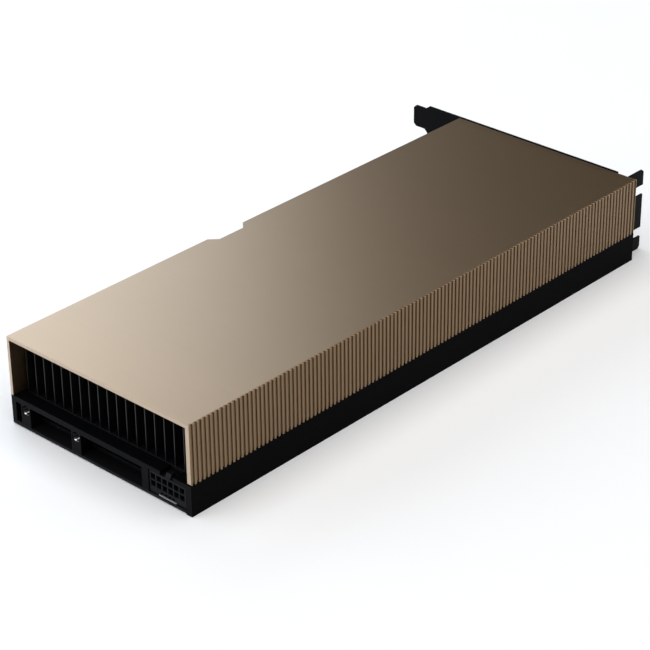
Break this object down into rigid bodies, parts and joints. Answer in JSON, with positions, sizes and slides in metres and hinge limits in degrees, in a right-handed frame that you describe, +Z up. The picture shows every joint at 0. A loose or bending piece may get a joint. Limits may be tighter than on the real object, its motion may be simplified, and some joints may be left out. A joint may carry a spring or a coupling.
{
  "type": "passive accelerator card",
  "caption": "Passive server accelerator card with a ribbed metal cover, a finned air duct open at both ends, a rear power inlet and a vented slot bracket.",
  "frame": {"origin": "middle of the whole card's underside, at the centre of its bounding box's bottom", "axes": "+X along the card's length from the power inlet end to the bracket, +Y from the ribbed long side to the contact edge, +Z up through the cover"},
  "size_m": [0.2782, 0.1246, 0.0387],
  "materials": {
    "champagne_metal": "anodised champagne gold, finely brushed",
    "black_frame": "satin black moulding",
    "black_plate": "matt black coat",
    "amber_film": "thin polyimide sheet",
    "dark_laminate": "black solder mask",
    "gilding": "hard gilded",
    "green_laminate": "package laminate",
    "nickel_plate": "nickel plated",
    "silicon": "polished silicon",
    "grey_paste": "soft grey paste",
    "base_metal": "black anodised",
    "fin_metal": "black coated aluminium sheet",
    "chip_plastic": "moulded black",
    "pad_rubber": "soft blue-grey pad",
    "ferrite": "pressed grey powder",
    "ceramic": "tan ceramic",
    "can_metal": "drawn can",
    "inlet_plastic": "satin black moulding",
    "pin_metal": "plated contact",
    "black_bracket": "black coated steel sheet",
    "dark_steel": "blackened steel",
    "insert_steel": "plain turned steel"
  },
  "bodies": {
    "root": {"top_cover": "champagne_metal", "base_frame": "black_frame", "backplate": "black_plate", "insulating_film": "amber_film", "circuit_board": "dark_laminate", "edge_contacts": "gilding", "chip_substrate": "green_laminate", "package_stiffener": "nickel_plate", "processor_die": "silicon", "memory_stacks": "silicon", "thermal_paste": "grey_paste", "heatsink_base": "base_metal", "heatsink_fins": "fin_metal", "power_stages": "chip_plastic", "thermal_pads": "pad_rubber", "inductors": "ferrite", "chip_capacitors": "chip_plastic", "ceramic_capacitors": "ceramic", "input_chokes": "ferrite", "control_chips": "chip_plastic", "flash_chip": "chip_plastic", "clock_chip": "nickel_plate", "can_capacitors": "can_metal", "power_connector": "inlet_plastic", "power_pins": "pin_metal", "sense_pins": "pin_metal", "bracket": "black_bracket", "cover_screws": "dark_steel", "backplate_screws": "dark_steel", "heatsink_screws": "dark_steel", "bracket_screws": "dark_steel", "rear_inserts": "insert_steel"}
  },
  "joints": []
}
